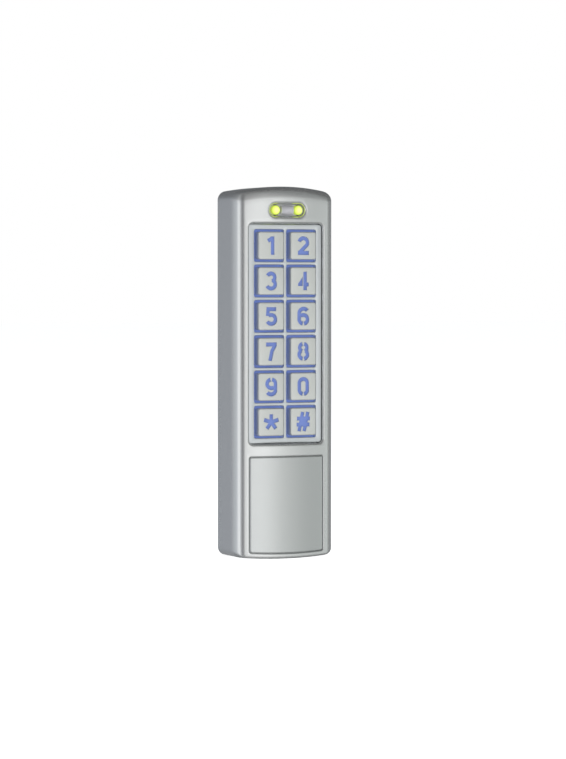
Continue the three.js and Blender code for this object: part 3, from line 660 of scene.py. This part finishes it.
# Strokes are centre lines and patches are filled shapes, each centred on its key.
characters = {
    "1": ([[(-1.35, 1.85), (0.5, 3.0)], [(0.55, edgeLine), (0.55, -edgeLine)]], []),
    "2": ([bowl(0, 1.25, 1.72, 165, -30) + [(-1.6, -2.75)], [(-2.2, baseLine), (2.3, baseLine)]], []),
    "3": ([bowl(-0.1, 1.45, 1.52, 155, -75), bowl(-0.1, -1.26, 1.72, 75, -155)], []),
    "4": (
        [[(0.75, edgeLine), (0.75, -edgeLine)], [(1.3, -1.4), (2.25, -1.4)]],
        [[(-0.3, 1.7), (-2.35, -1.1), (-2.35, -2.0), (-0.3, -2.0)]],
    ),
    "5": (
        [
            [(-1.75, topLine), (2.0, topLine)],
            [(-1.2, edgeLine), (-1.5, 0.15)],
            bowl(-0.05, -1.2, 1.76, 125, -150),
        ],
        [],
    ),
    "6": (
        [
            bowl(0.1, 1.15, 1.82, 35, 170) + bowl(0, -1.25, 1.72, 180, 270 - bridge),
            bowl(0, -1.25, 1.72, 130, -90 + bridge),
        ],
        [],
    ),
    "7": ([[(-2.1, topLine), (2.2, topLine)], [(1.6, 2.7), (0.3, 0.3), (-0.5, -edgeLine)]], []),
    "8": (figureEight, []),
    "9": (
        [
            bowl(0, 1.25, 1.72, 90 - bridge, 0) + bowl(-0.1, -1.15, 1.82, -10, -145),
            bowl(0, 1.25, 1.72, 90 + bridge, 310),
        ],
        [],
    ),
    "0": (
        [
            bowl(0, -1.33, 1.65, -90 + bridge, 0)
            + bowl(0, 1.33, 1.65, 0, 180)
            + bowl(0, -1.33, 1.65, 180, 270 - bridge)
        ],
        [],
    ),
    "star": ([[(0, 0), (3.1 * cos(radians(a)), 3.1 * sin(radians(a)))] for a in (90, 162, 234, 306, 18)], []),
    "hash": (
        [
            [(-1.75, -3.8), (-0.25, 3.8)],
            [(0.35, -3.8), (1.85, 3.8)],
            [(-2.6, 1.2), (2.75, 1.2)],
            [(-2.75, -1.2), (2.6, -1.2)],
        ],
        [[(-1.2, -1.2), (0.9, -1.2), (1.3, 1.2), (-0.8, 1.2)]],
    ),
}


# The outline of a stroke of even width along a centre line, its ends pushed out by reach.
def ribbon(line, width, reach=0.0):
    line = [Vector(p) for p in line]
    line[0] = line[0] + (line[0] - line[1]).normalized() * reach
    line[-1] = line[-1] + (line[-1] - line[-2]).normalized() * reach
    left, right = [], []
    for i, here in enumerate(line):
        ahead = (line[i] - line[i - 1] if i else line[1] - line[0]).normalized()
        after = (line[i + 1] - line[i] if i < len(line) - 1 else line[i] - line[i - 1]).normalized()
        mean = (ahead + after).normalized()
        out = width / 2 / max(ahead.dot(mean), 0.5)
        left.append((here.x - mean.y * out, here.y + mean.x * out))
        right.append((here.x + mean.y * out, here.y - mean.x * out))
    return left + right[::-1]


# The cutters that open a character through a cap's skin, its edges bevelled.
def strokeCutters(key, x, z, face):
    strokes, patches = characters[key]
    bevel, width = caps["bevel"], caps["stroke"]
    front, back = face - 1, face + caps["skin"] + caps["through"]
    cutters = []
    for line in strokes:
        line = [(u * caps["stretch"], v) for u, v in line]
        wide = ribbon(line, width + 4 * bevel, 2 * bevel)
        narrow = ribbon(line, width)
        levels = [(wide, front), (wide, face - bevel), (narrow, face + bevel), (narrow, back)]
        cutters.append(solidFromRings([[(x + u, y, z + v) for u, v in ring] for ring, y in levels]))
    for patch in patches:
        cutters.append(solidFromRings([[(x + u, y, z + v) for u, v in patch] for y in (front, back)]))
    return cutters


def makeCap(key):
    low, high = boxInMm("key_cap_" + key)
    x, _, z = middleInMm("key_cap_" + key)
    face, back, size, edge = low[1], high[1], high[0] - low[0], caps["edge"]

    def ring(offset, depth):
        return [(u, depth, v) for u, v in roundedOutline(x, z, size, size, caps["corner"], offset, 1, 6)]

    rings = [ring(0, back), ring(0, face + edge + caps["straight"])]
    for turn in range(90, -1, -caps["edgeStep"]):
        rings.append(ring(-edge * (1 - sin(radians(turn))), face + edge * (1 - cos(radians(turn)))))
    piece = solidFromRings(
        rings, "cap_" + key, body="key_" + key, slot="key_metal", material=paints["key"],
        replaced=["key_cap_" + key],
    )
    hollow = size - 2 * caps["wall"]
    inside = roundedOutline(x, z, hollow, hollow, caps["insideCorner"])
    pit = solidFromRings([[(u, y, v) for u, v in inside] for y in (face + caps["skin"], back + 1)])
    return cutAway(piece, [pit] + strokeCutters(key, x, z, face), smooth=30)


makeKeypadFrame()
for key in keyNames:
    makeCap(key)


print("lamps")

lens = {
    "dome": 1.6, "inset": 0.12, "sides": 48, "domeSteps": 9, "tip": 0.02,
    "foot": 0.8,  # radius at the back as a share of the lens's own
    "footHeight": 2,
}
lightBar = {
    "back": -21.2, "stem": 1.3, "endLoop": 0.05, "roundSteps": 24,
    "tray": 0.9, "trayBack": 0.1, "trayGap": 0.15, "lampGap": 0.15,
}


def makeLamp(side):
    low, high = boxInMm("status_lamp_" + side)
    x, _, z = middleInMm("status_lamp_" + side)
    radius, base = (high[2] - low[2]) / 2 - lens["inset"], low[1] + lens["dome"]
    profile = [(radius * lens["foot"], high[1]), (radius, high[1] - lens["footHeight"]), (radius, base)]
    for k in range(1, lens["domeSteps"]):
        turn = radians(90 * k / lens["domeSteps"])
        profile.append((radius * cos(turn), low[1] + lens["dome"] * (1 - sin(turn))))
    profile.append((lens["tip"], low[1]))
    solidFromRings(
        turnedRings(profile, x, z, lens["sides"]), "lamp_lens_" + side, body="reader", slot="status_lamp",
        material=paints["lamp"], replaced=["status_lamp_" + side],
    )


# The bar is moulded in one with a tray that fills the slot round the lamps.
def makeLightBar():
    low, high = boxInMm("light_bar")
    z, radius = middleInMm("light_bar")[2], (high[2] - low[2]) / 2
    back, stem, loop = lightBar["back"], lightBar["stem"], lightBar["endLoop"]
    nose = arc(0, 0, radius, 90, 270, lightBar["roundSteps"])
    section = [(low[1] + radius + y, z + v) for y, v in nose]
    section += [(back, z - radius), (back, z - stem), (high[1], z - stem)]
    section += [(high[1], z + stem), (back, z + stem), (back, z + radius)]
    rings = [[(x, y, v) for y, v in section] for x in (low[0], low[0] + loop, high[0] - loop, high[0])]
    bar = solidFromRings(
        rings, "light_bar_lens", body="reader", slot="clear_light_bar", material=paints["bar"],
        replaced=["light_bar"],
    )
    outline = slotOutline(-lightBar["trayGap"])
    tray = [[(x, y, v) for x, v in outline] for y in (back - lightBar["tray"], back - lightBar["trayBack"])]
    steps = [("UNION", solidFromRings(tray))]
    for side in ("left", "right"):
        low, high = boxInMm("status_lamp_" + side)
        x, _, z = middleInMm("status_lamp_" + side)
        bore = (high[2] - low[2]) / 2 + lightBar["lampGap"]
        hole = solidFromRings(turnedRings([(bore, farFront), (bore, farBack)], x, z, lens["sides"]))
        steps.append(("DIFFERENCE", hole))
    return reshape(bar, steps, smooth=40)


makeLamp("left")
makeLamp("right")
makeLightBar()


print("kept pieces")

# The paint of each node that keeps its CAD shape, and how far its edges are softened in mm.
keptLooks = {
    "wall_bracket": ("bracket", 0.25),
    "wall_gasket": ("rubber", 0.15),
    "keymat": ("glow", 0.1),
    "keypad_board": ("board", 0),
    "antenna_coil": ("copper", 0.15),
    "ferrite_sheet": ("ferrite", 0.1),
    "main_board": ("board", 0),
    "board_connector": ("dark", 0.1),
    "controller_chip": ("dark", 0.08),
    "relay": ("dark", 0.25),
    "buzzer": ("dark", 0.2),
    "terminal_block": ("terminal", 0.12),
    "board_screw_left": ("screw", 0.1),
    "board_screw_right": ("screw", 0.1),
    "tamper_switch": ("dark", 0.15),
    "tamper_plunger": ("plunger", 0.1),
    "back_cover": ("cover", 0.2),
    "cable_grommet": ("rubber", 0.2),
    "cover_screw_top_left": ("screw", 0.1),
    "cover_screw_top_right": ("screw", 0.1),
    "cover_screw_bottom_left": ("screw", 0.1),
    "cover_screw_bottom_right": ("screw", 0.1),
    "security_screw": ("screw", 0.1),
}
keptLooks.update({"key_core_" + key: ("glow", 0) for key in keyNames})
softEdge = {"segments": 2, "angle": 50}

for node, (look, edge) in keptLooks.items():
    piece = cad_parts[node]
    piece.data.materials.clear()
    piece.data.materials.append(paints[look])
    if edge:
        bevel = piece.modifiers.new("edges", "BEVEL")
        bevel.width = edge * mm
        bevel.segments = softEdge["segments"]
        bevel.limit_method = "ANGLE"
        bevel.angle_limit = radians(softEdge["angle"])
        bevel.harden_normals = True


print("stage")

floorLook = {
    "colour": (0.9, 0.9, 0.9),
    "roughness": 0.9,
    "shine": 0.1,
    "glow": 0.84,
    "height": shell["bottom"],
    "half": 6.0,  # metres from the middle to each side
}
softbox = {"size": 1.6, "power": 9, "place": (0, -0.4, 1.2)}


def makeFloor():
    half, z = floorLook["half"], floorLook["height"] * mm
    mesh = bpy.data.meshes.new("floor")
    corners = [(-half, -half, z), (half, -half, z), (half, half, z), (-half, half, z)]
    mesh.from_pydata(corners, [], [(0, 1, 2, 3)])
    floor = bpy.data.objects.new("floor", mesh)
    scene.collection.objects.link(floor)
    material = newMaterial("paleFloor", floorLook["colour"], 0, floorLook["roughness"])
    shader = material.node_tree.nodes["Principled BSDF"]
    shader.inputs["Emission Color"].default_value = (1, 1, 1, 1)
    shader.inputs["Emission Strength"].default_value = floorLook["glow"]
    shader.inputs["Specular IOR Level"].default_value = floorLook["shine"]
    mesh.materials.append(material)
    floor.visible_glossy = False  # the surround below carries the reflections instead


# Studio surround: colour by compass direction in degrees, 0 in front of the keys and 90 off their right
# side, and how much of it is left by height, from straight down at -1 to straight up at 1.
surround = [
    (-180, (0.32, 0.335, 0.36)),
    (-156, (0.30, 0.32, 0.36)),
    (-130, (0.40, 0.42, 0.46)),
    (-106, (0.52, 0.55, 0.59)),
    (-84, (0.62, 0.65, 0.70)),
    (-69, (0.90, 0.93, 0.97)),
    (-57, (1.55, 1.57, 1.61)),
    (-46, (0.80, 0.82, 0.85)),
    (-32, (0.20, 0.20, 0.22)),
    (-21, (0.06, 0.06, 0.07)),
    (-11, (0.50, 0.50, 0.51)),
    (-3, (1.36, 1.36, 1.37)),
    (8, (1.36, 1.37, 1.37)),
    (22, (0.88, 0.90, 0.89)),
    (38, (0.62, 0.65, 0.64)),
    (49, (0.60, 0.63, 0.62)),
    (59, (0.82, 0.86, 0.85)),
    (67, (0.45, 0.48, 0.47)),
    (82, (0.22, 0.23, 0.23)),
    (150, (0.28, 0.29, 0.31)),
]
heights = [
    (-1, 0.3),
    (-0.5, 0.6),
    (-0.15, 1.04),
    (0.02, 1.04),
    (0.14, 0.72),
    (0.3, 0.42),
    (0.75, 0.3),
    (1, 0.16),
]


def makeSurround():
    world = bpy.data.worlds.new("studio")
    scene.world = world
    world.use_nodes = True
    nodes, links = world.node_tree.nodes, world.node_tree.links
    nodes.clear()
    output = nodes.new("ShaderNodeOutputWorld")
    place = nodes.new("ShaderNodeTexCoord")
    parts = nodes.new("ShaderNodeSeparateXYZ")
    links.new(place.outputs["Generated"], parts.inputs["Vector"])
    away = nodes.new("ShaderNodeMath")
    away.operation = "MULTIPLY"
    away.inputs[1].default_value = -1
    links.new(parts.outputs["Y"], away.inputs[0])
    compass = nodes.new("ShaderNodeMath")
    compass.operation = "ARCTAN2"
    links.new(parts.outputs["X"], compass.inputs[0])
    links.new(away.outputs["Value"], compass.inputs[1])
    turn = nodes.new("ShaderNodeMapRange")
    turn.inputs["From Min"].default_value = -radians(180)
    turn.inputs["From Max"].default_value = radians(180)
    links.new(compass.outputs["Value"], turn.inputs["Value"])
    ring = nodes.new("ShaderNodeValToRGB")
    allRound = surround + [(180, surround[0][1])]
    fillRamp(ring.color_ramp, [((angle + 180) / 360, colour) for angle, colour in allRound])
    links.new(turn.outputs["Result"], ring.inputs["Fac"])
    level = nodes.new("ShaderNodeMapRange")
    level.inputs["From Min"].default_value = -1
    links.new(parts.outputs["Z"], level.inputs["Value"])
    height = nodes.new("ShaderNodeValToRGB")
    fillRamp(height.color_ramp, [((z + 1) / 2, (share, share, share)) for z, share in heights])
    links.new(level.outputs["Result"], height.inputs["Fac"])
    shade = nodes.new("ShaderNodeMix")
    shade.data_type = "RGBA"
    shade.blend_type = "MULTIPLY"
    shade.inputs["Factor"].default_value = 1
    mixA, mixB = [i for i in shade.inputs if i.type == "RGBA"]
    links.new(ring.outputs["Color"], mixA)
    links.new(height.outputs["Color"], mixB)
    light = nodes.new("ShaderNodeBackground")
    links.new([o for o in shade.outputs if o.type == "RGBA"][0], light.inputs["Color"])
    backdrop = nodes.new("ShaderNodeBackground")
    backdrop.inputs["Color"].default_value = (1, 1, 1, 1)
    rays = nodes.new("ShaderNodeLightPath")
    choose = nodes.new("ShaderNodeMixShader")
    links.new(rays.outputs["Is Camera Ray"], choose.inputs["Fac"])
    links.new(light.outputs["Background"], choose.inputs[1])
    links.new(backdrop.outputs["Background"], choose.inputs[2])
    links.new(choose.outputs["Shader"], output.inputs["Surface"])


def makeSoftbox():
    data = bpy.data.lights.new("softbox", "AREA")
    data.size = softbox["size"]
    data.energy = softbox["power"]
    lamp = bpy.data.objects.new("softbox", data)
    scene.collection.objects.link(lamp)
    lamp.location = softbox["place"]
    lamp.rotation_euler = Vector(lamp.location).to_track_quat("Z", "Y").to_euler()
    lamp.visible_glossy = False


# The turn and down angles are in degrees, the lens and sensor in millimetres, the rest in metres.
view = {
    "place": (-0.4977, -1.1061, 0.0370),
    "turn": 24.598,
    "down": 1.905,
    "lens": 142.3,
    "sensor": 36,
    "nearest": 0.05,
    "farthest": 50,
}


def makeCamera():
    data = bpy.data.cameras.new("camera")
    data.lens = view["lens"]
    data.sensor_width = view["sensor"]
    data.clip_start, data.clip_end = view["nearest"], view["farthest"]
    camera = bpy.data.objects.new("camera", data)
    scene.collection.objects.link(camera)
    camera.location = view["place"]
    camera.rotation_euler = (radians(90 - view["down"]), 0, -radians(view["turn"]))
    scene.camera = camera


makeFloor()
makeSurround()
makeSoftbox()
makeCamera()
scene.view_settings.view_transform = "Standard"
